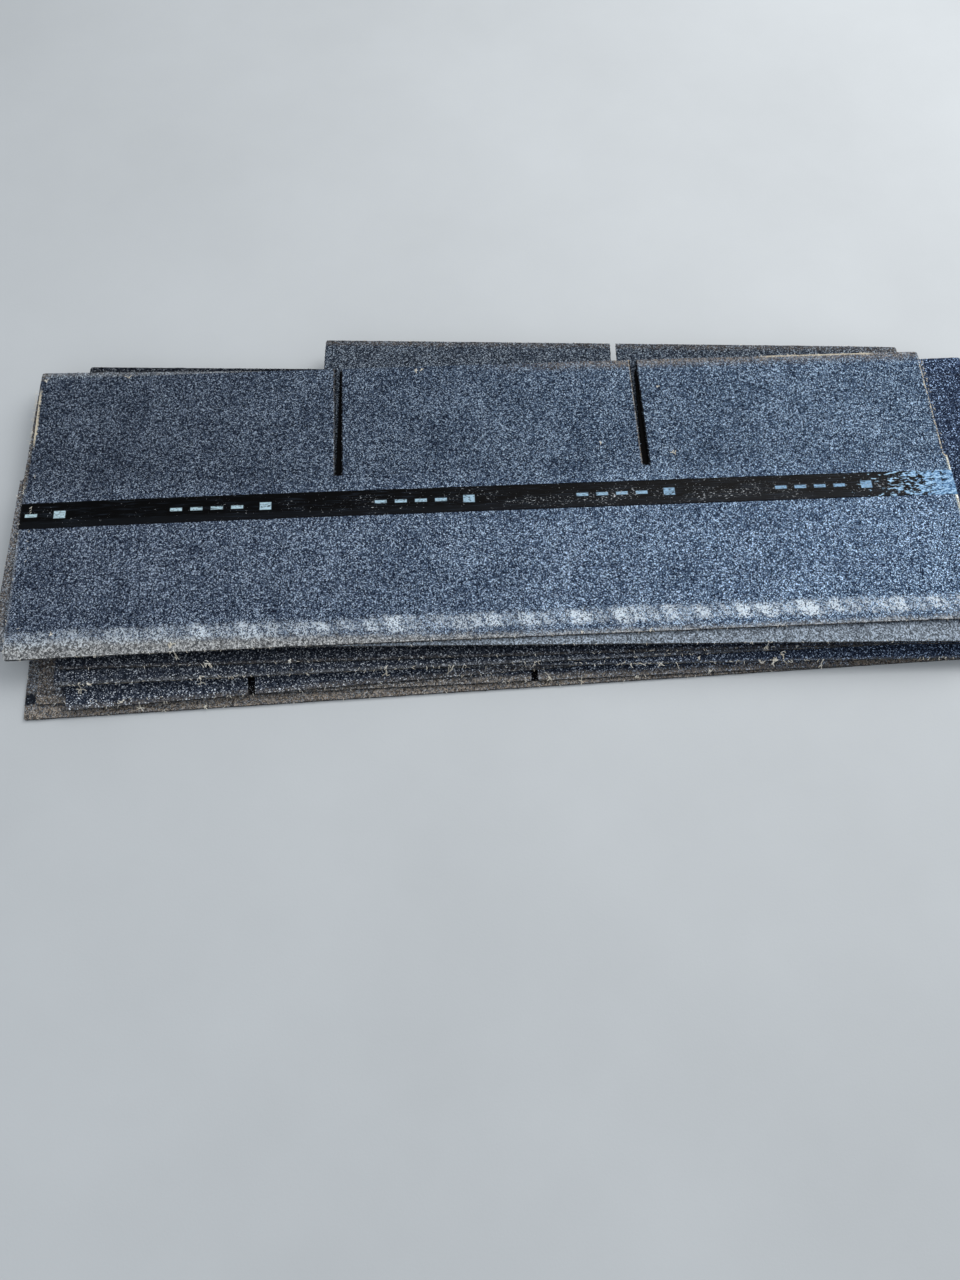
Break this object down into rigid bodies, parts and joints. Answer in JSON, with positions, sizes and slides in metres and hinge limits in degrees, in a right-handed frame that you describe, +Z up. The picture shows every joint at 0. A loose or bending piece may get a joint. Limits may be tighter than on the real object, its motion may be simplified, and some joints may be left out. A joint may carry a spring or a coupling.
{
  "type": "stack of three-tab asphalt shingles",
  "caption": "Loose stack of three-tab asphalt shingles, whole and trimmed, laid slightly askew, the top one back up with its black release film.",
  "frame": {"origin": "on the floor under the middle of the whole stack", "axes": "+X along the shingles, +Y towards the side that the top shingle's tabs point to, +Z up"},
  "size_m": [0.9944, 0.3956, 0.0341],
  "materials": {
    "granulated_asphalt": "matte, coated with mineral granules and sand",
    "plastic_film": "glossy black film, scuffed"
  },
  "bodies": {
    "root": {"shingle_01": "granulated_asphalt", "shingle_02": "granulated_asphalt", "shingle_03": "granulated_asphalt", "shingle_04": "granulated_asphalt", "shingle_05": "granulated_asphalt", "shingle_06": "granulated_asphalt", "shingle_07": "granulated_asphalt", "shingle_08": "granulated_asphalt", "shingle_09": "granulated_asphalt", "shingle_10": "granulated_asphalt", "shingle_11": "granulated_asphalt", "release_film": "plastic_film"}
  },
  "joints": []
}
